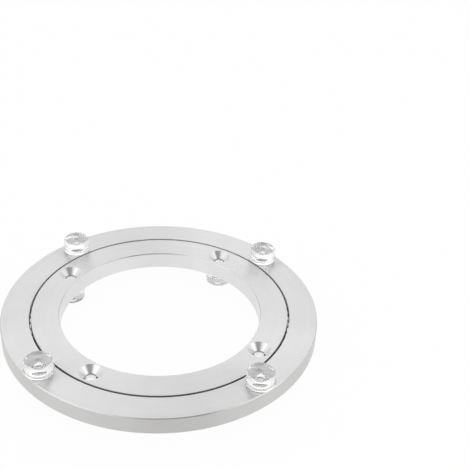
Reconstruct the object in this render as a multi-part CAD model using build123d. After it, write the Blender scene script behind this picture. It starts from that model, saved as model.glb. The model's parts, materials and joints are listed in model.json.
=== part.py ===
from build123d import *
import math
import os

# Flat turntable bearing: two flush aluminium rings on a full row of steel balls.
# The inner ring stands on four clear feet. The outer ring turns and carries four clear pads.
# Millimetres. Z is the axis of rotation, and z = 0 is the surface that the feet stand on.

# Rings
bore_d = 89.0  # clear hole through the middle
ring_w = 12.35  # radial width of each ring
ring_t = 8.0  # thickness of each ring
gap_w = 0.8  # running gap between the two rings
edge_chamfer = 0.4  # rim of the outer ring and bore of the inner ring
gap_chamfer = 0.15  # edges beside the running gap

# Balls and raceways
ball_d = 4.0
ball_play = 0.17  # least free space between neighbouring balls
race_clearance = 0.12  # groove radius over ball radius

# Screw holes: a countersink, a short plain land, then a slightly wider socket for the pad's peg
screw_count = 4  # in each ring
screw_d = 4.4
sink_d = 10.0  # countersink at the ring's face
sink_angle = 90.0  # full cone angle of the countersink
land_t = 0.6
base_angle = 55.85  # first hole of the inner ring, degrees from +X
top_angle = 39.4  # first hole of the outer ring as it stands at rest

# Clear soft pads: a push-in peg with a bead, a round-edged flange and a puck with a shallow dimple in its end
pad_h = 5.9  # from the ring's face to the pad's end
pad_overhang = 0.275  # flange edge beyond each edge of the ring
flange_t = 1.2
body_step = 0.45  # body radius under flange radius
shoulder_r = 1.2  # rounding at the body's end
groove_r = 0.35  # rounding where the body meets the flange
mouth_d = 3.8  # dimple at the pad's end
lip_r = 0.3  # rounding of that mouth
floor_d = 2.8  # floor of the dimple, narrower than its mouth so that the moulding draws from its core
dimple_depth = 0.5
neck_d = 3.8  # peg between the flange and its bead
bead_d = 4.7  # bead that grips the socket
bead_l = 0.7
bead_ramp = 0.5  # slope from the neck to the bead
tip_d = 3.4  # end of the peg
tip_l = 1.0  # taper from the bead to that end
peg_fit = 0.05  # bead to socket, on the radius
peg_gap = 0.3  # peg end to socket floor

# Plug that closes the hole through which the balls are filled, and its locking pin
plug_angle = 40.5  # degrees from +X
plug_allowance = 0.6  # plug diameter over ball diameter
plug_fit = 0.05  # on the radius
pin_d = 3.0
pin_setback = 3.8  # pin axis from the bore wall
pin_fit = 0.05  # on the radius

# Radii, from the bore outwards
bore_r = bore_d / 2
inner_edge_r = bore_r + ring_w
outer_hole_r = inner_edge_r + gap_w
outer_r = outer_hole_r + ring_w
pitch_r = (inner_edge_r + outer_hole_r) / 2
base_screw_r = bore_r + ring_w / 2
top_screw_r = outer_hole_r + ring_w / 2

# Heights, from the surface that the feet stand on
ring_low_z = pad_h
ring_high_z = ring_low_z + ring_t
ring_mid_z = (ring_low_z + ring_high_z) / 2

# Raceway, holes and fits
ball_r = ball_d / 2
race_r = ball_r + race_clearance
ball_count = math.floor(2 * math.pi * pitch_r / (ball_d + ball_play))
screw_r = screw_d / 2
sink_r = sink_d / 2
sink_depth = (sink_r - screw_r) / math.tan(math.radians(sink_angle / 2))
socket_depth = ring_t - sink_depth - land_t
neck_r = neck_d / 2
bead_r = bead_d / 2
tip_r = tip_d / 2
socket_r = bead_r + peg_fit
peg_len = socket_depth - peg_gap
bead_z = tip_l - peg_len
flange_r = ring_w / 2 + pad_overhang
body_r = flange_r - body_step
mouth_r = mouth_d / 2
dimple_r = mouth_r - lip_r
floor_r = floor_d / 2
plug_r = (ball_d + plug_allowance) / 2
pin_r = pin_d / 2
pin_place_r = bore_r + pin_setback


def turned(outline):
    """Solid turned about Z from a closed outline of radius and height."""
    return revolve(Plane.XZ * make_face(outline), Axis.Z)


def ring_blank(r_in, r_out, chamfer_in, chamfer_out):
    """Ring with broken edges and its half of the ball raceway."""
    body = turned(
        Polyline(
            (r_in, ring_low_z + chamfer_in),
            (r_in + chamfer_in, ring_low_z),
            (r_out - chamfer_out, ring_low_z),
            (r_out, ring_low_z + chamfer_out),
            (r_out, ring_high_z - chamfer_out),
            (r_out - chamfer_out, ring_high_z),
            (r_in + chamfer_in, ring_high_z),
            (r_in, ring_high_z - chamfer_in),
            close=True,
        )
    )
    return body - Pos(0, 0, ring_mid_z) * Torus(pitch_r, race_r)


def inner_blank():
    """Inner ring before its holes are drilled."""
    return ring_blank(bore_r, inner_edge_r, edge_chamfer, gap_chamfer)


def outer_blank():
    """Outer ring before its holes are drilled."""
    return ring_blank(outer_hole_r, outer_r, gap_chamfer, edge_chamfer)


def screw_hole():
    """Cutter for one hole, its countersink opening upwards at z = 0."""
    return turned(
        Polyline(
            (0, 0),
            (sink_r, 0),
            (screw_r, -sink_depth),
            (screw_r, -sink_depth - land_t),
            (socket_r, -sink_depth - land_t),
            (socket_r, -ring_t),
            (0, -ring_t),
            close=True,
        )
    )


def base_places(z):
    """Screw positions of the inner ring at one height."""
    return [Pos(0, 0, z) * place for place in PolarLocations(base_screw_r, screw_count, base_angle)]


def top_places(z):
    """Screw positions of the outer ring at one height."""
    return [Pos(0, 0, z) * place for place in PolarLocations(top_screw_r, screw_count, top_angle)]


def plug_rod(radius):
    """Rod from the axis out to the middle of the gap, at the height of the balls."""
    rod = Pos(0, 0, pitch_r / 2) * Cylinder(radius, pitch_r)
    return Pos(0, 0, ring_mid_z) * Rot(0, 0, plug_angle) * Rot(0, 90, 0) * rod


def pin_rod(radius):
    """Upright rod on the pin's axis, as long as the ring is thick."""
    return Rot(0, 0, plug_angle) * Pos(pin_place_r, 0, ring_mid_z) * Cylinder(radius, ring_t)


def inner_ring():
    """Fixed ring: countersinks above, sockets for the feet below."""
    ring = inner_blank()
    for place in base_places(ring_high_z):
        ring -= place * screw_hole()
    ring -= plug_rod(plug_r + plug_fit)
    return ring - pin_rod(pin_r + pin_fit)


def outer_ring():
    """Turning ring: countersinks below, sockets for the pads above."""
    ring = outer_blank()
    for place in top_places(ring_low_z):
        ring -= place * Rot(180, 0, 0) * screw_hole()
    return ring


def bearing_balls():
    """Full row of loose balls, without a cage."""
    places = PolarLocations(pitch_r, ball_count)
    return Compound([Pos(0, 0, ring_mid_z) * place * Sphere(ball_r).solid() for place in places])


def filler_plug():
    """Plug turned flush with the bore, its inner end cut with the raceway."""
    return (inner_blank() & plug_rod(plug_r)) - pin_rod(pin_r + pin_fit)


def plug_pin():
    """Locking pin through ring and plug, flush with both faces."""
    return pin_rod(pin_r)


def pad():
    """Pad with its seat at z = 0, its dimpled body above and its beaded peg below."""
    flange_flat_r = flange_r - flange_t / 2
    return turned(
        [
            Polyline(
                (0, pad_h - dimple_depth),
                (0, -peg_len),
                (tip_r, -peg_len),
                (bead_r, bead_z),
                (bead_r, bead_z + bead_l),
                (neck_r, bead_z + bead_l + bead_ramp),
                (neck_r, 0),
                (flange_flat_r, 0),
            ),
            TangentArc((flange_flat_r, 0), (flange_flat_r, flange_t), tangent=(1, 0)),
            Line((flange_flat_r, flange_t), (body_r - groove_r, flange_t)),
            TangentArc((body_r - groove_r, flange_t), (body_r, flange_t + groove_r), tangent=(1, 0)),
            Line((body_r, flange_t + groove_r), (body_r, pad_h - shoulder_r)),
            TangentArc((body_r, pad_h - shoulder_r), (body_r - shoulder_r, pad_h), tangent=(0, 1)),
            Line((body_r - shoulder_r, pad_h), (mouth_r, pad_h)),
            TangentArc((mouth_r, pad_h), (dimple_r, pad_h - lip_r), tangent=(-1, 0)),
            Polyline(
                (dimple_r, pad_h - lip_r),
                (floor_r, pad_h - dimple_depth),
                (0, pad_h - dimple_depth),
            ),
        ]
    )


pieces = {
    "outer_ring": outer_ring(),
    "inner_ring": inner_ring(),
    "bearing_balls": bearing_balls(),
    "filler_plug": filler_plug(),
    "plug_pin": plug_pin(),
}
for number, place in enumerate(top_places(ring_high_z), 1):
    pieces[f"top_pad_{number}"] = place * pad()
for number, place in enumerate(base_places(ring_low_z), 1):
    pieces[f"foot_pad_{number}"] = place * Rot(180, 0, 0) * pad()

os.makedirs("parts", exist_ok=True)
for name, piece in pieces.items():
    export_step(piece, f"parts/{name}.step")
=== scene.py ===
import json
import math
import bmesh
import bpy
from mathutils import Matrix, Vector


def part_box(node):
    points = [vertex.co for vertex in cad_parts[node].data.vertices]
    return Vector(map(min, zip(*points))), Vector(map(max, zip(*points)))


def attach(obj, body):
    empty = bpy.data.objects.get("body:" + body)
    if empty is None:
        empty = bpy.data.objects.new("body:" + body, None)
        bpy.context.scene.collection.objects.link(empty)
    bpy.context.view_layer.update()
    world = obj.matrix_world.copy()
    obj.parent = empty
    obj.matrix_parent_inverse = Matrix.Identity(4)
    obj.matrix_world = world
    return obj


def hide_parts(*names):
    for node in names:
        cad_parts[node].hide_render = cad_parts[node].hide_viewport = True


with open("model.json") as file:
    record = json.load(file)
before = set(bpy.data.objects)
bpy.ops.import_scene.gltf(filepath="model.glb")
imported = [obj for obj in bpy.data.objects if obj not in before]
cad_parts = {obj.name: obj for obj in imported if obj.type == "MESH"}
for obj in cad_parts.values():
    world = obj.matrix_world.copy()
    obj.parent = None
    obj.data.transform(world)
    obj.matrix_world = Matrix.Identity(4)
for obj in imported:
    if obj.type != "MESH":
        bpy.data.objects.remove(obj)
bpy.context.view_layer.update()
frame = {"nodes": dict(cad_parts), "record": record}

scene = bpy.context.scene
scene.view_settings.view_transform = "Standard"
# paths long enough for light that is turned about inside the clear pads
scene.cycles.max_bounces, scene.cycles.glossy_bounces, scene.cycles.transmission_bounces = 32, 24, 24
mm = 0.001
mergeDistance = 0.0005 * mm
sharpAngle = math.radians(26)

# sizes that the frame already holds
mounts = {mount["name"]: mount for mount in frame["record"]["mounts"]}
outerLow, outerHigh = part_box("outer_ring")
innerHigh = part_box("inner_ring")[1]
ballLow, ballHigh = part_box("bearing_balls")
padLow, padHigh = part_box("top_pad_1")
footLow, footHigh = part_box("foot_pad_1")
pinLow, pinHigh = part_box("plug_pin")
plugLow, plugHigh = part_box("filler_plug")

ringLow, ringHigh = outerLow.z, outerHigh.z
ringMid = (ringLow + ringHigh) / 2
outerR = outerHigh.x
innerEdgeR = innerHigh.x
boreR = mounts["centre_bore"]["dims"]["r_mm"] * mm
outerHoleR = outerR - (innerEdgeR - boreR)
pitchR = (innerEdgeR + outerHoleR) / 2
ballR = (ballHigh.z - ballLow.z) / 2
screwR = mounts["base_screws"]["dims"]["hole_r_mm"] * mm
screwCount = mounts["base_screws"]["dims"]["count"]
baseCircleR = mounts["base_screws"]["dims"]["pcd_mm"] * mm / 2
topCircleR = mounts["top_screws"]["dims"]["pcd_mm"] * mm / 2
footMid = (footLow + footHigh) / 2
padMid = (padLow + padHigh) / 2
baseTurn = math.atan2(footMid.y, footMid.x)
topTurn = math.atan2(padMid.y, padMid.x)
padHeight = padHigh.z - ringHigh


# small helpers for node trees

def calc(tree, operation, first, second=None):
    node = tree.nodes.new("ShaderNodeMath")
    node.operation = operation
    for socket, value in zip(node.inputs, (first, second)):
        if isinstance(value, (int, float)):
            socket.default_value = value
        elif value is not None:
            tree.links.new(value, socket)
    return node.outputs[0]


def put(tree, kind, settings=None, **sockets):
    node = tree.nodes.new(kind)
    for name, value in (settings or {}).items():
        setattr(node, name, value)
    for name, value in sockets.items():
        socket = node.inputs[name.replace("_", " ")]
        if isinstance(value, bpy.types.NodeSocket):
            tree.links.new(value, socket)
        else:
            socket.default_value = value
    return node


def placed(name, data):
    thing = bpy.data.objects.new(name, data)
    scene.collection.objects.link(thing)
    return thing


def newTree(name, **inputs):
    tree = bpy.data.node_groups.new(name, "GeometryNodeTree")
    tree.interface.new_socket("Geometry", in_out="INPUT", socket_type="NodeSocketGeometry")
    for label, kind in inputs.items():
        tree.interface.new_socket(label, in_out="INPUT", socket_type="NodeSocket" + kind)
    tree.interface.new_socket("Geometry", in_out="OUTPUT", socket_type="NodeSocketGeometry")
    start = tree.nodes.new("NodeGroupInput")
    end = tree.nodes.new("NodeGroupOutput")
    return tree, start.outputs, end.inputs


def sectionObject(name, points):
    mesh = bpy.data.meshes.new(name)
    mesh.from_pydata([(r, 0, z) for r, z in points], [], [])
    return placed(name, mesh)


# the tree's result, with any cutters taken out of it, as a plain mesh on a new object
def grown(name, start, tree, values, cuts=()):
    modifier = start.modifiers.new(name, "NODES")
    modifier.node_group = tree
    for item in tree.interface.items_tree:
        if item.in_out == "INPUT" and item.name in values:
            modifier[item.identifier] = values[item.name]
    for cutter in cuts:
        cut = start.modifiers.new("cut", "BOOLEAN")
        cut.operation = "DIFFERENCE"
        cut.object = cutter
    evaluated = start.evaluated_get(bpy.context.evaluated_depsgraph_get())
    mesh = bpy.data.meshes.new_from_object(evaluated)
    mesh.name = name
    shell = bmesh.new()
    shell.from_mesh(mesh)
    bmesh.ops.remove_doubles(shell, verts=shell.verts, dist=mergeDistance)    # slivers that a cut leaves
    shell.to_mesh(mesh)
    shell.free()
    start.modifiers.clear()
    piece = placed(name, mesh)
    for extra in (start, *cuts):
        bpy.data.objects.remove(extra)
    mesh.set_sharp_from_angle(angle=sharpAngle)
    return piece


# a corner list of (r, z, rounding) made into a section with rounded corners
def rounded(corners, steps=4, support=0.08 * mm):
    points = []
    for index, (r, z, radius) in enumerate(corners):
        corner = Vector((r, z))
        if radius == 0:
            points.append(corner)
            continue
        before = (Vector(corners[index - 1][:2]) - corner).normalized()
        after = (Vector(corners[(index + 1) % len(corners)][:2]) - corner).normalized()
        half = before.angle(after) / 2
        reach = radius / math.tan(half)
        centre = corner + (before + after).normalized() * (radius / math.sin(half))
        first, last = corner + before * reach - centre, corner + after * reach - centre
        turn = math.atan2(first.cross(last), first.dot(last))
        points.append(centre + first + before * support)
        for step in range(steps + 1):
            points.append(centre + Matrix.Rotation(turn * step / steps, 2) @ first)
        points.append(centre + last + after * support)
    return [tuple(point) for point in points]


# Geometry Nodes: a section turned about the Z axis

def turnedTree():
    tree, given, out = newTree("turnedOnAxis", Segments="Int", Closed="Bool")
    size = put(tree, "GeometryNodeAttributeDomainSize", {"component": "MESH"}, Geometry=given["Geometry"])
    count = size.outputs["Point Count"]
    rows = calc(tree, "ADD", count, given["Closed"])
    columns = calc(tree, "ADD", given["Segments"], 1)
    grid = put(tree, "GeometryNodeMeshGrid", Vertices_X=columns, Vertices_Y=rows)
    index = put(tree, "GeometryNodeInputIndex").outputs[0]
    column = calc(tree, "FLOOR", calc(tree, "DIVIDE", index, rows))
    row = calc(tree, "MODULO", calc(tree, "MODULO", index, rows), count)
    angle = calc(tree, "MULTIPLY", calc(tree, "DIVIDE", column, given["Segments"]), math.tau)
    place = put(tree, "GeometryNodeInputPosition").outputs[0]
    sample = put(tree, "GeometryNodeSampleIndex", {"data_type": "FLOAT_VECTOR", "domain": "POINT"},
                 Geometry=given["Geometry"], Value=place, Index=row)
    point = put(tree, "ShaderNodeSeparateXYZ", Vector=sample.outputs["Value"]).outputs
    turned = put(tree, "ShaderNodeCombineXYZ",
                 X=calc(tree, "MULTIPLY", point["X"], calc(tree, "COSINE", angle)),
                 Y=calc(tree, "MULTIPLY", point["X"], calc(tree, "SINE", angle)), Z=point["Z"])
    shaped = put(tree, "GeometryNodeSetPosition", Geometry=grid.outputs["Mesh"], Position=turned.outputs[0])
    merged = put(tree, "GeometryNodeMergeByDistance", Geometry=shaped.outputs[0], Distance=mergeDistance)
    tree.links.new(merged.outputs[0], out[0])
    return tree


turnedOnAxis = turnedTree()


# points evenly spaced on a circle, at a height
def circlePlaces(tree, given):
    circle = put(tree, "GeometryNodeMeshCircle", Vertices=given["Count"], Radius=given["Circle"])
    turn = put(tree, "ShaderNodeCombineXYZ", Z=given["Turn"])
    lift = put(tree, "ShaderNodeCombineXYZ", Z=given["Height"])
    return put(tree, "GeometryNodeTransform", Geometry=circle.outputs["Mesh"],
               Translation=lift.outputs[0], Rotation=turn.outputs[0]).outputs[0]


# Geometry Nodes: a ring section turned, with countersunk holes cut round it
def ringTree():
    tree, given, out = newTree("ringWithHoles", Segments="Int", HoleSection="Object", HoleSegments="Int",
                               Count="Int", Circle="Float", Turn="Float", Height="Float",
                               RingFinish="Material", HoleFinish="Material")
    ring = put(tree, "GeometryNodeGroup", {"node_tree": turnedOnAxis},
               Geometry=given["Geometry"], Segments=given["Segments"], Closed=True)
    section = put(tree, "GeometryNodeObjectInfo", {"transform_space": "ORIGINAL"},
                  Object=given["HoleSection"])
    cutter = put(tree, "GeometryNodeGroup", {"node_tree": turnedOnAxis},
                 Geometry=section.outputs["Geometry"], Segments=given["HoleSegments"], Closed=False)
    marked = put(tree, "GeometryNodeStoreNamedAttribute", {"data_type": "BOOLEAN", "domain": "FACE"},
                 Geometry=cutter.outputs[0], Name="hole", Value=True)
    holes = put(tree, "GeometryNodeInstanceOnPoints", Points=circlePlaces(tree, given),
                Instance=marked.outputs[0])
    tools = put(tree, "GeometryNodeRealizeInstances", Geometry=holes.outputs[0])
    cut = put(tree, "GeometryNodeMeshBoolean", {"operation": "DIFFERENCE", "solver": "EXACT"})
    tree.links.new(ring.outputs[0], cut.inputs["Mesh 1"])
    tree.links.new(tools.outputs[0], cut.inputs["Mesh 2"])
    smooth = put(tree, "GeometryNodeSetShadeSmooth", {"domain": "FACE"}, Geometry=cut.outputs["Mesh"])
    whole = put(tree, "GeometryNodeRealizeInstances", Geometry=smooth.outputs[0])
    ringMade = put(tree, "GeometryNodeSetMaterial", Geometry=whole.outputs[0], Material=given["RingFinish"])
    isHole = put(tree, "GeometryNodeInputNamedAttribute", {"data_type": "BOOLEAN"}, Name="hole")
    holeMade = put(tree, "GeometryNodeSetMaterial", Geometry=ringMade.outputs[0],
                   Selection=isHole.outputs["Attribute"], Material=given["HoleFinish"])
    tree.links.new(holeMade.outputs[0], out[0])
    return tree


# Geometry Nodes: a turned moulding set on each place of a circle
def padTree():
    tree, given, out = newTree("padsOnCircle", Segments="Int", Count="Int", Circle="Float", Turn="Float",
                               Height="Float", Finish="Material")
    pad = put(tree, "GeometryNodeGroup", {"node_tree": turnedOnAxis},
              Geometry=given["Geometry"], Segments=given["Segments"], Closed=False)
    smooth = put(tree, "GeometryNodeSetShadeSmooth", {"domain": "FACE"}, Geometry=pad.outputs[0])
    pads = put(tree, "GeometryNodeInstanceOnPoints", Points=circlePlaces(tree, given),
               Instance=smooth.outputs[0])
    whole = put(tree, "GeometryNodeRealizeInstances", Geometry=pads.outputs[0])
    made = put(tree, "GeometryNodeSetMaterial", Geometry=whole.outputs[0], Material=given["Finish"])
    tree.links.new(made.outputs[0], out[0])
    return tree


# Geometry Nodes: a full row of balls on the pitch circle
def ballTree():
    tree, given, out = newTree("ballRow", Count="Int", Circle="Float", Turn="Float", Height="Float",
                               BallRadius="Float", Segments="Int", Rings="Int", Finish="Material")
    ball = put(tree, "GeometryNodeMeshUVSphere", Segments=given["Segments"], Rings=given["Rings"],
               Radius=given["BallRadius"])
    smooth = put(tree, "GeometryNodeSetShadeSmooth", {"domain": "FACE"}, Geometry=ball.outputs["Mesh"])
    balls = put(tree, "GeometryNodeInstanceOnPoints", Points=circlePlaces(tree, given),
                Instance=smooth.outputs[0])
    whole = put(tree, "GeometryNodeRealizeInstances", Geometry=balls.outputs[0])
    made = put(tree, "GeometryNodeSetMaterial", Geometry=whole.outputs[0], Material=given["Finish"])
    tree.links.new(made.outputs[0], out[0])
    return tree


ringWithHoles, padsOnCircle, ballRow = ringTree(), padTree(), ballTree()
print("node trees ready")


# finishes

def newFinish(name):
    finish = bpy.data.materials.new(name)
    finish.use_nodes = True
    tree = finish.node_tree
    tree.nodes.clear()
    shader = tree.nodes.new("ShaderNodeBsdfPrincipled")
    end = tree.nodes.new("ShaderNodeOutputMaterial")
    tree.links.new(shader.outputs[0], end.inputs["Surface"])
    place = put(tree, "ShaderNodeTexCoord").outputs["Object"]
    return finish, tree, shader, place


def between(tree, value, low, high, toLow, toHigh):
    return put(tree, "ShaderNodeMapRange", {"interpolation_type": "SMOOTHSTEP"}, Value=value,
               From_Min=low, From_Max=high, To_Min=toLow, To_Max=toHigh).outputs["Result"]


# noise keeps near the middle of 0 to 1, so only that middle runs from one value to the other
def varied(tree, noise, low, high, reach=0.2):
    return between(tree, noise, 0.5 - reach, 0.5 + reach, low, high)


def blended(tree, amount, first, second):
    node = tree.nodes.new("ShaderNodeMix")
    node.data_type = "RGBA"
    tree.links.new(amount, node.inputs["Factor"])
    for socket, value in ((node.inputs[6], first), (node.inputs[7], second)):
        if isinstance(value, bpy.types.NodeSocket):
            tree.links.new(value, socket)
        else:
            socket.default_value = (*value, 1)
    return node.outputs[2]


def eased(tree, amount, first, second):
    node = put(tree, "ShaderNodeMix", {"data_type": "FLOAT"}, Factor=amount)
    tree.links.new(first, node.inputs[2])
    node.inputs[3].default_value = second
    return node.outputs[0]


ringFinish = {
    "face": (0.74, 0.74, 0.74),
    "bore": (0.82, 0.82, 0.82),
    "side": (0.7, 0.695, 0.685),      # grainy outer side
    "paintedGapShade": (0.3, 0.3, 0.3),       # painted shade on the inner ring's edge in the running gap, standing in for the gap's shadow
    "faceRoughness": 0.45,
    "bandRoughness": 0.01,            # how far that wanders from one turning band to the next
    "boreRoughness": 0.3,
    "sideRoughness": 0.45,
    "edgeRoughness": 0.2,             # chamfers of rim and bore
    "anisotropy": 0.93,
    "spreadTurn": 0.25,               # quarter turn: the gloss spreads across the tool marks
    "cloudShade": 0.965,              # darkest of the faint clouds
    "lineScale": 5200,                # turning lines, per metre, as the next three
    "bandScale": 420,
    "cloudScale": 60,
    "grainScale": 900,
    "grainSquash": 5,                 # grain finer in height than round the ring
    "lineHeight": 0.004 * mm,
    "grainHeight": 0.02 * mm,
    # distances from rim, bore or gap over which one finish, or the painted gap shade, passes into the next
    "sideZone": (0.35 * mm, 0.1 * mm),
    "boreZone": (0.1 * mm, 0.35 * mm),
    "edgeStart": (0.03 * mm, 0.07 * mm),
    "edgeEnd": (0.36 * mm, 0.41 * mm),
    "gapShadeStart": (0.14 * mm, 0.1 * mm),
    "gapShadeEnd": (0.1 * mm, 0.2 * mm),
}


def turnedAluminium():
    finish, tree, shader, place = newFinish("turnedAluminium")
    look = ringFinish
    part = put(tree, "ShaderNodeSeparateXYZ", Vector=place).outputs
    flat = put(tree, "ShaderNodeCombineXYZ", X=part["X"], Y=part["Y"])
    radius = put(tree, "ShaderNodeVectorMath", {"operation": "LENGTH"}, Vector=flat.outputs[0])
    radius = radius.outputs["Value"]

    # patterns
    along = calc(tree, "ADD", radius, part["Z"])    # runs across the tool marks on faces and walls alike
    lines = put(tree, "ShaderNodeTexNoise", {"noise_dimensions": "1D"}, W=along,
                Scale=look["lineScale"], Detail=2.0).outputs["Fac"]
    bands = put(tree, "ShaderNodeTexNoise", {"noise_dimensions": "1D"}, W=along,
                Scale=look["bandScale"], Detail=3.0).outputs["Fac"]
    cloud = put(tree, "ShaderNodeTexNoise", Vector=place, Scale=look["cloudScale"], Detail=3.0).outputs["Fac"]
    squash = put(tree, "ShaderNodeMapping", {"vector_type": "POINT"}, Vector=place)
    squash.inputs["Scale"].default_value = (1, 1, look["grainSquash"])
    grain = put(tree, "ShaderNodeTexNoise", Vector=squash.outputs[0], Scale=look["grainScale"],
                Detail=4.0, Roughness=0.6).outputs["Fac"]

    # zones
    sideZone, boreZone = look["sideZone"], look["boreZone"]
    gapShadeStart, gapShadeEnd = look["gapShadeStart"], look["gapShadeEnd"]
    onSide = between(tree, radius, outerR - sideZone[0], outerR - sideZone[1], 0, 1)
    inBore = between(tree, radius, boreR + boreZone[0], boreR + boreZone[1], 1, 0)
    fromRim = calc(tree, "SUBTRACT", outerR, radius)
    fromEdge = calc(tree, "MINIMUM", fromRim, calc(tree, "SUBTRACT", radius, boreR))
    onEdge = calc(tree, "MULTIPLY", between(tree, fromEdge, *look["edgeStart"], 0, 1),
                  between(tree, fromEdge, *look["edgeEnd"], 1, 0))
    # mask of the painted gap shade on the inner ring's edge
    inGapShade = calc(tree, "MULTIPLY",
                 between(tree, radius, innerEdgeR - gapShadeStart[0], innerEdgeR - gapShadeStart[1], 0, 1),
                 between(tree, radius, innerEdgeR + gapShadeEnd[0], innerEdgeR + gapShadeEnd[1], 1, 0))

    # colour
    tint = blended(tree, inBore, look["face"], look["bore"])
    tint = blended(tree, onSide, tint, look["side"])
    # painted shade: the inner ring's edge by the gap darkened, standing in for the gap's shadow
    tint = blended(tree, inGapShade, tint, look["paintedGapShade"])
    shaded = put(tree, "ShaderNodeMix", {"data_type": "RGBA", "blend_type": "MULTIPLY"})
    shaded.inputs["Factor"].default_value = 1
    tree.links.new(tint, shaded.inputs[6])
    tree.links.new(varied(tree, cloud, look["cloudShade"], 1.0), shaded.inputs[7])
    tree.links.new(shaded.outputs[2], shader.inputs["Base Color"])
    shader.inputs["Metallic"].default_value = 1

    # gloss
    rough = varied(tree, bands, look["faceRoughness"] - look["bandRoughness"],
                   look["faceRoughness"] + look["bandRoughness"], reach=0.25)
    rough = eased(tree, inBore, rough, look["boreRoughness"])
    rough = eased(tree, onSide, rough, look["sideRoughness"])
    rough = eased(tree, onEdge, rough, look["edgeRoughness"])
    tree.links.new(rough, shader.inputs["Roughness"])
    shader.inputs["Anisotropic"].default_value = look["anisotropy"]
    shader.inputs["Anisotropic Rotation"].default_value = look["spreadTurn"]
    tangent = put(tree, "ShaderNodeTangent", {"direction_type": "RADIAL", "axis": "Z"})
    tree.links.new(tangent.outputs[0], shader.inputs["Tangent"])

    # relief
    lineHeight = calc(tree, "MULTIPLY", lines, look["lineHeight"])
    grainHeight = calc(tree, "MULTIPLY", calc(tree, "MULTIPLY", grain, onSide), look["grainHeight"])
    relief = calc(tree, "ADD", lineHeight, grainHeight)
    bump = put(tree, "ShaderNodeBump", Height=relief, Distance=1.0, Strength=1.0)
    tree.links.new(bump.outputs[0], shader.inputs["Normal"])
    return finish


holeFinish = {
    "colour": (0.86, 0.86, 0.86),
    "land": (0.3, 0.3, 0.3),               # painted shade on the land below the cone, standing in for its shadow
    "landShadeZone": (0.05 * mm, 0.15 * mm),    # beyond the land, over which the painted shade passes into the cone's finish
    "roughness": 0.16,
    "lineRoughness": (-0.03, 0.05),        # how far that wanders with the lines
    "lineScale": 3800,
    "lineHeight": 0.002 * mm,
}


# distance from the nearest of the four axes on a circle, found by folding the four onto one
def foldedRadius(tree, place, circleR, turn):
    back = put(tree, "ShaderNodeMapping", {"vector_type": "POINT"}, Vector=place)
    back.inputs["Rotation"].default_value = (0, 0, -turn)
    part = put(tree, "ShaderNodeSeparateXYZ", Vector=back.outputs[0]).outputs
    wide, high = calc(tree, "ABSOLUTE", part["X"]), calc(tree, "ABSOLUTE", part["Y"])
    out = calc(tree, "SUBTRACT", calc(tree, "MAXIMUM", wide, high), circleR)
    local = put(tree, "ShaderNodeCombineXYZ", X=out, Y=calc(tree, "MINIMUM", wide, high))
    length = put(tree, "ShaderNodeVectorMath", {"operation": "LENGTH"}, Vector=local.outputs[0])
    return length.outputs["Value"], part["Z"]


# countersinks: fine rings about each hole, and painted shade on the land below each cone
def cutAluminium(name, circleR, turn):
    finish, tree, shader, place = newFinish(name)
    radius, height = foldedRadius(tree, place, circleR, turn)
    lines = put(tree, "ShaderNodeTexNoise", {"noise_dimensions": "1D"}, W=calc(tree, "ADD", radius, height),
                Scale=holeFinish["lineScale"], Detail=2.0).outputs["Fac"]
    landShadeZone, lineRoughness = holeFinish["landShadeZone"], holeFinish["lineRoughness"]
    # painted shade: the land and the foot of the cone darkened as if in shadow
    inLandShade = between(tree, radius, screwR + landShadeZone[0], screwR + landShadeZone[1], 1, 0)
    tint = blended(tree, inLandShade, holeFinish["colour"], holeFinish["land"])
    tree.links.new(tint, shader.inputs["Base Color"])
    shader.inputs["Metallic"].default_value = 1
    rough = varied(tree, lines, holeFinish["roughness"] + lineRoughness[0],
                   holeFinish["roughness"] + lineRoughness[1])
    tree.links.new(rough, shader.inputs["Roughness"])
    relief = calc(tree, "MULTIPLY", lines, holeFinish["lineHeight"])
    bump = put(tree, "ShaderNodeBump", Height=relief, Distance=1.0)
    tree.links.new(bump.outputs[0], shader.inputs["Normal"])
    return finish


# roughness that wanders in small patches
def hazed(tree, place, look, reach=0.2):
    haze = put(tree, "ShaderNodeTexNoise", Vector=place, Scale=look["hazeScale"],
               Detail=look["hazeDetail"]).outputs["Fac"]
    least, most = look["haze"]
    return varied(tree, haze, look["roughness"] * least, look["roughness"] * most, reach)


ballFinish = {
    "colour": (0.78, 0.78, 0.79),
    "roughness": 0.07,
    "haze": (0.8, 1.3),         # least and most, as shares of the roughness
    "hazeScale": 700,
    "hazeDetail": 3.0,
}


def polishedSteel():
    finish, tree, shader, place = newFinish("ballSteel")
    shader.inputs["Base Color"].default_value = (*ballFinish["colour"], 1)
    shader.inputs["Metallic"].default_value = 1
    tree.links.new(hazed(tree, place, ballFinish, reach=0.15), shader.inputs["Roughness"])
    return finish


clearFinish = {
    "colour": (0.995, 0.997, 0.997),
    "ior": 1.4,
    "roughness": 0.07,
    "haze": (0.6, 1.5),
    "hazeScale": 350,
    "hazeDetail": 2.0,
}


def clearPlastic():
    finish, tree, shader, place = newFinish("clearPlastic")
    shader.inputs["Base Color"].default_value = (*clearFinish["colour"], 1)
    shader.inputs["Transmission Weight"].default_value = 1
    shader.inputs["IOR"].default_value = clearFinish["ior"]
    tree.links.new(hazed(tree, place, clearFinish), shader.inputs["Roughness"])
    return finish


aluminium = turnedAluminium()
baseHoles = cutAluminium("countersunkBase", baseCircleR, baseTurn)
topHoles = cutAluminium("countersunkTop", topCircleR, topTurn)
ballSteel = polishedSteel()
clear = clearPlastic()
print("finishes ready")


# rings

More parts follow.
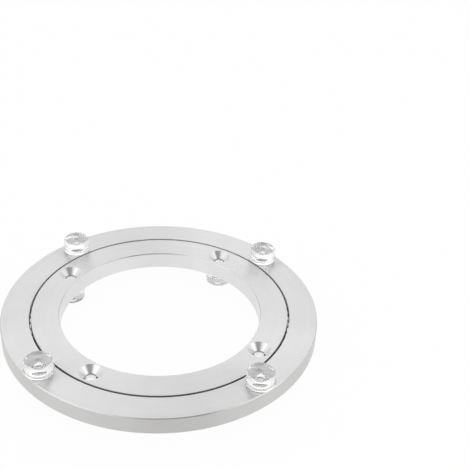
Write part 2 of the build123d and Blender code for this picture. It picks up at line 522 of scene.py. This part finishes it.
ringShape = {
    "segments": 480,
    "edgeChamfer": 0.4 * mm,
    "gapChamfer": 0.15 * mm,
    "softness": 0.07 * mm,          # tiny rounding left on every turned edge
    "gapSoftness": 0.3,             # the same beside the gap, as a share of its chamfer
    "raceClearance": 0.12 * mm,
    "raceSteps": 18,
    "sinkR": 5.0 * mm,
    "landThickness": 0.6 * mm,
    "socketR": 2.4 * mm,
    "holeSegments": 96,
    "pinRoom": 0.025 * mm,          # round the pin and the plug
    "barSegments": 64,
    "cutOver": 1 * mm,              # how far a cutter stands out of the ring
    "plugOver": 2 * mm,
}


def racePoints(side):
    radius = ballR + ringShape["raceClearance"]
    edge = abs(pitchR - innerEdgeR)
    reach = math.acos(edge / radius)
    points = []
    for step in range(ringShape["raceSteps"] + 1):
        angle = -side * reach * (1 - 2 * step / ringShape["raceSteps"])
        points.append((pitchR + side * radius * math.cos(angle), ringMid - radius * math.sin(angle), 0))
    return points if side > 0 else points[::-1]


def outerSection():
    edge, gap, soft = ringShape["edgeChamfer"], ringShape["gapChamfer"], ringShape["softness"]
    thin = gap * ringShape["gapSoftness"]
    race = sorted(racePoints(1), key=lambda point: -point[1])
    return rounded([
        (outerHoleR + gap, ringLow, thin), (outerR - edge, ringLow, soft), (outerR, ringLow + edge, soft),
        (outerR, ringHigh - edge, soft), (outerR - edge, ringHigh, soft), (outerHoleR + gap, ringHigh, thin),
        (outerHoleR, ringHigh - gap, thin), *race, (outerHoleR, ringLow + gap, thin)])


def innerSection():
    edge, gap, soft = ringShape["edgeChamfer"], ringShape["gapChamfer"], ringShape["softness"]
    thin = gap * ringShape["gapSoftness"]
    race = sorted(racePoints(-1), key=lambda point: point[1])
    return rounded([
        (boreR + edge, ringLow, soft), (innerEdgeR - gap, ringLow, thin),
        (innerEdgeR, ringLow + gap, thin), *race, (innerEdgeR, ringHigh - gap, thin),
        (innerEdgeR - gap, ringHigh, thin), (boreR + edge, ringHigh, soft),
        (boreR, ringHigh - edge, soft), (boreR, ringLow + edge, soft)])


# one screw hole: countersink, thin land, then the socket for a pad's peg
# facing is +1 when the countersink is on top
def holeSection(facing):
    thick = ringHigh - ringLow
    sink, over = ringShape["sinkR"], ringShape["cutOver"]
    depth = sink - screwR
    land = depth + ringShape["landThickness"]
    line = [(0, -thick - over), (ringShape["socketR"], -thick - over), (ringShape["socketR"], -land),
            (screwR, -land), (screwR, -depth), (sink, 0), (sink, over), (0, over)]
    if facing > 0:
        return line
    return [(r, -z) for r, z in reversed(line)]


def roundBar(name, start, end, radius):
    line = Vector(end) - Vector(start)
    turn = line.to_track_quat("Z", "Y").to_matrix()
    count = ringShape["barSegments"]
    points = []
    for height in (0, line.length):
        for step in range(count):
            angle = math.tau * step / count
            spoke = Vector((radius * math.cos(angle), radius * math.sin(angle), height))
            points.append(Vector(start) + turn @ spoke)
    faces = [tuple(reversed(range(count))), tuple(range(count, 2 * count))]
    faces += [(step, (step + 1) % count, count + (step + 1) % count, count + step) for step in range(count)]
    mesh = bpy.data.meshes.new(name)
    mesh.from_pydata(points, [], faces)
    return placed(name, mesh)


def ring(name, section, facing, circleR, turn, holes, cuts=()):
    start = sectionObject(name + "Section", section)
    holeStart = sectionObject(name + "Hole", holeSection(facing))
    piece = grown(name, start, ringWithHoles, {
        "Segments": ringShape["segments"], "HoleSection": holeStart,
        "HoleSegments": ringShape["holeSegments"], "Count": screwCount, "Circle": circleR, "Turn": turn,
        "Height": ringHigh if facing > 0 else ringLow,
        "RingFinish": aluminium, "HoleFinish": holes}, cuts)
    bpy.data.objects.remove(holeStart)
    return piece


pinMid = (pinLow + pinHigh) / 2
pinR = (pinHigh.x - pinLow.x) / 2 + ringShape["pinRoom"]
plugR = (plugHigh.z - plugLow.z) / 2 + ringShape["pinRoom"]
plugWay = Vector((pinMid.x, pinMid.y, 0)).normalized()
midHeight = Vector((0, 0, ringMid))
plugHole = roundBar("plugHole", plugWay * (boreR - ringShape["plugOver"]) + midHeight,
                    plugWay * pitchR + midHeight, plugR)
pinHole = roundBar("pinHole", (pinMid.x, pinMid.y, pinLow.z),
                   (pinMid.x, pinMid.y, ringHigh + ringShape["cutOver"]), pinR)

outerRing = ring("outerRing", outerSection(), -1, topCircleR, topTurn, topHoles)
innerRing = ring("innerRing", innerSection(), 1, baseCircleR, baseTurn, baseHoles, (plugHole, pinHole))
print("rings", len(outerRing.data.polygons), len(innerRing.data.polygons))


# pads and feet

padShape = {
    "segments": 96,
    "seatGap": 0.03 * mm,           # air between pad and ring, so that the clear faces don't coincide
    "flangeThickness": 1.2 * mm,
    "flangeRound": 0.48,            # its edge's rounding, as a share of that
    "bodyStep": 0.45 * mm,
    "shoulder": 1.2 * mm,
    "groove": 0.35 * mm,
    "grooveCorner": 0.02 * mm,      # roundings at that groove's foot and at its top
    "grooveEdge": 0.1 * mm,
    "dimpleR": 1.6 * mm,
    "lip": 0.3 * mm,
    "floorR": 1.4 * mm,
    "dimpleDepth": 0.5 * mm,
    "neckR": 1.9 * mm,
    "beadR": 2.35 * mm,
    "beadTop": 2.6 * mm,            # below the ring's face
    "beadEnd": 3.3 * mm,
    "beadRamp": 0.5 * mm,
    "tipR": 1.7 * mm,
    "pegLength": 4.3 * mm,
    "softness": 0.2 * mm,
    "outlineSteps": 12,             # points round each rounding
    "outlineSupport": 0.02 * mm,    # extra points beside it
}


# half outline of a pad from the tip of its peg to the floor of its dimple; facing is -1 for a foot
def padSection(facing):
    shape = padShape
    flangeR = (padHigh.x - padLow.x) / 2
    bodyR = flangeR - shape["bodyStep"]
    seat, flange = shape["seatGap"], shape["flangeThickness"]
    groove, soft = shape["groove"], shape["softness"]
    flangeEdge = flange * shape["flangeRound"]
    floorZ = padHeight - shape["dimpleDepth"]
    outline = rounded([
        (0, -shape["pegLength"], 0), (shape["tipR"], -shape["pegLength"], soft),
        (shape["beadR"], -shape["beadEnd"], soft), (shape["beadR"], -shape["beadTop"], soft),
        (shape["neckR"], shape["beadRamp"] - shape["beadTop"], soft / 2), (shape["neckR"], seat, 0),
        (flangeR, seat, flangeEdge), (flangeR, flange, flangeEdge),
        (bodyR - groove, flange, shape["grooveCorner"]), (bodyR, flange + groove, shape["grooveEdge"]),
        (bodyR, padHeight, shape["shoulder"]), (shape["dimpleR"], padHeight, shape["lip"]),
        (shape["floorR"], floorZ, soft), (0, floorZ, 0),
    ], steps=shape["outlineSteps"], support=shape["outlineSupport"])
    if facing > 0:
        return outline
    return [(r, -z) for r, z in reversed(outline)]


def padSet(name, facing, circleR, turn, height):
    start = sectionObject(name + "Section", padSection(facing))
    return grown(name, start, padsOnCircle, {
        "Segments": padShape["segments"], "Count": screwCount, "Circle": circleR, "Turn": turn,
        "Height": height, "Finish": clear})


topPads = padSet("topPads", 1, topCircleR, topTurn, ringHigh)
footPads = padSet("footPads", -1, baseCircleR, baseTurn, ringLow)
print("pads", len(topPads.data.polygons), len(footPads.data.polygons))


# balls

ballShape = {"count": 86, "segments": 28, "rings": 14}
ballStart = sectionObject("ballStart", [(0, 0)])
balls = grown("ballRow", ballStart, ballRow, {
    "Count": ballShape["count"], "Circle": pitchR, "Turn": 0.0, "Height": ringMid, "BallRadius": ballR,
    "Segments": ballShape["segments"], "Rings": ballShape["rings"], "Finish": ballSteel})
print("balls", len(balls.data.polygons))


# each piece on its body, in place of its solid

def fit(piece, body, slot, *nodes):
    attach(piece, body)
    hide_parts(*nodes)


fit(outerRing, "turntable", "ring_aluminium", "outer_ring")
fit(innerRing, "base", "ring_aluminium", "inner_ring")
fit(topPads, "turntable", "clear_pad", *["top_pad_%d" % number for number in range(1, screwCount + 1)])
fit(footPads, "base", "clear_pad", *["foot_pad_%d" % number for number in range(1, screwCount + 1)])
fit(balls, "ball_train", "ball_steel", "bearing_balls")
for node in ("filler_plug", "plug_pin"):    # turned and ground flush together with the ring
    solid = frame["nodes"][node]
    solid.data.materials.clear()
    solid.data.materials.append(aluminium)


# floor, light and camera

studio = {
    "floorSize": 8.0,
    "floorGap": 0.05 * mm,              # air under the feet, so that clear faces and floor don't coincide
    "floor": (0.97, 0.97, 0.97),
    "floorGlow": 0.96,                  # share of plain white in the floor as the camera sees it
    "floorSheen": 0.95,                 # the same in the floor as metal reflects it
    "floorThrough": 0.85,               # the same in the floor as it shows through the clear feet
    "sky": 0.92,
    # brighter and darker parts of the tent: azimuth from the front, + to the right, elevation,
    # inner and outer half angle, how much is added
    "patches": [(12, 46, 8, 36, -0.55), (180, 22, 8, 34, 0.38), (180, 10, 6, 25, 1.0), (75, 60, 8, 30, -0.3),
                (0, 88, 5, 30, 0.25), (142, 4, 6, 28, -0.2), (-142, 4, 6, 28, -0.2)],
    # name, azimuth, elevation, distance, width, height, power
    "softboxes": [("leftSoftbox", -62, 27, 1.2, 1.0, 0.8, 0.8), ("rightSoftbox", 62, 27, 1.2, 1.0, 0.8, 1.0)],
}


def towards(azimuth, elevation):
    turn, rise = math.radians(azimuth), math.radians(elevation)
    return Vector((math.sin(turn) * math.cos(rise), -math.cos(turn) * math.cos(rise), math.sin(rise)))


def makeFloor():
    half, low = studio["floorSize"] / 2, -studio["floorGap"]
    corners = [(-half, -half, low), (half, -half, low), (half, half, low), (-half, half, low)]
    mesh = bpy.data.meshes.new("floor")
    mesh.from_pydata(corners, [], [(0, 1, 2, 3)])
    floor = placed("floor", mesh)
    finish = bpy.data.materials.new("paleFloor")
    finish.use_nodes = True
    tree = finish.node_tree
    tree.nodes.clear()
    matt = put(tree, "ShaderNodeBsdfDiffuse", Color=(*studio["floor"], 1))
    glow = put(tree, "ShaderNodeEmission", Color=(1, 1, 1, 1), Strength=1.0)
    rays = put(tree, "ShaderNodeLightPath").outputs
    seen = calc(tree, "MULTIPLY", rays["Is Camera Ray"], studio["floorGlow"])
    mirrored = calc(tree, "MULTIPLY", rays["Is Glossy Ray"], studio["floorSheen"])
    through = calc(tree, "MULTIPLY", rays["Is Transmission Ray"], studio["floorThrough"])
    share = calc(tree, "MAXIMUM", calc(tree, "MAXIMUM", seen, mirrored), through)
    mix = put(tree, "ShaderNodeMixShader", Fac=share)
    tree.links.new(matt.outputs[0], mix.inputs[1])
    tree.links.new(glow.outputs[0], mix.inputs[2])
    end = tree.nodes.new("ShaderNodeOutputMaterial")
    tree.links.new(mix.outputs[0], end.inputs["Surface"])
    mesh.materials.append(finish)


def makeSky():
    world = bpy.data.worlds.new("studioSky")
    world.use_nodes = True
    scene.world = world
    tree = world.node_tree
    tree.nodes.clear()
    way = put(tree, "ShaderNodeTexCoord").outputs["Generated"]
    light = put(tree, "ShaderNodeValue").outputs[0]
    light.default_value = studio["sky"]
    for azimuth, elevation, inner, outer, gain in studio["patches"]:
        dot = put(tree, "ShaderNodeVectorMath", {"operation": "DOT_PRODUCT"})
        tree.links.new(way, dot.inputs[0])
        dot.inputs[1].default_value = towards(azimuth, elevation)
        outside, inside = math.cos(math.radians(outer)), math.cos(math.radians(inner))
        patch = between(tree, dot.outputs["Value"], outside, inside, 0, gain)
        light = calc(tree, "ADD", light, patch)
    back = put(tree, "ShaderNodeBackground", Color=(1, 1, 1, 1), Strength=light)
    end = tree.nodes.new("ShaderNodeOutputWorld")
    tree.links.new(back.outputs[0], end.inputs["Surface"])


def makeSoftboxes():
    for name, azimuth, elevation, distance, width, height, power in studio["softboxes"]:
        lamp = bpy.data.lights.new(name, "AREA")
        lamp.shape, lamp.size, lamp.size_y, lamp.energy = "RECTANGLE", width, height, power
        box = placed(name, lamp)
        way = towards(azimuth, elevation)
        box.location = way * distance
        box.rotation_euler = (-way).to_track_quat("-Z", "Y").to_euler()


cameraSet = {
    "lens": 73.36,
    "sensor": 36,
    "distance": 430.41 * mm,  # to the middle of the rings' top
    "elevation": 37.14,       # of that line
    "aimAcross": 5.29,        # axis of the lens, to the right of that line
    "aimDown": 32.62,         # and below the level
    "roll": 2.8,
    "clip": (0.01, 30),
}


def makeCamera():
    lens = bpy.data.cameras.new("camera")
    lens.lens, lens.sensor_width, lens.sensor_fit = cameraSet["lens"], cameraSet["sensor"], "HORIZONTAL"
    lens.clip_start, lens.clip_end = cameraSet["clip"]
    camera = placed("camera", lens)
    angles = ("elevation", "aimAcross", "aimDown", "roll")
    rise, across, down, roll = [math.radians(cameraSet[name]) for name in angles]
    place = Vector((0, -math.cos(rise), math.sin(rise))) * cameraSet["distance"] + Vector((0, 0, ringHigh))
    ahead = Vector((math.sin(across) * math.cos(down), math.cos(across) * math.cos(down), -math.sin(down)))
    right = Vector((math.cos(across), -math.sin(across), 0))
    up = right.cross(ahead)
    rightRolled = right * math.cos(roll) + up * math.sin(roll)
    upRolled = up * math.cos(roll) - right * math.sin(roll)
    axes = Matrix((rightRolled, upRolled, -ahead)).transposed().to_4x4()
    camera.matrix_world = Matrix.Translation(place) @ axes
    scene.camera = camera


makeFloor()
makeSky()
makeSoftboxes()
makeCamera()
print("studio ready")
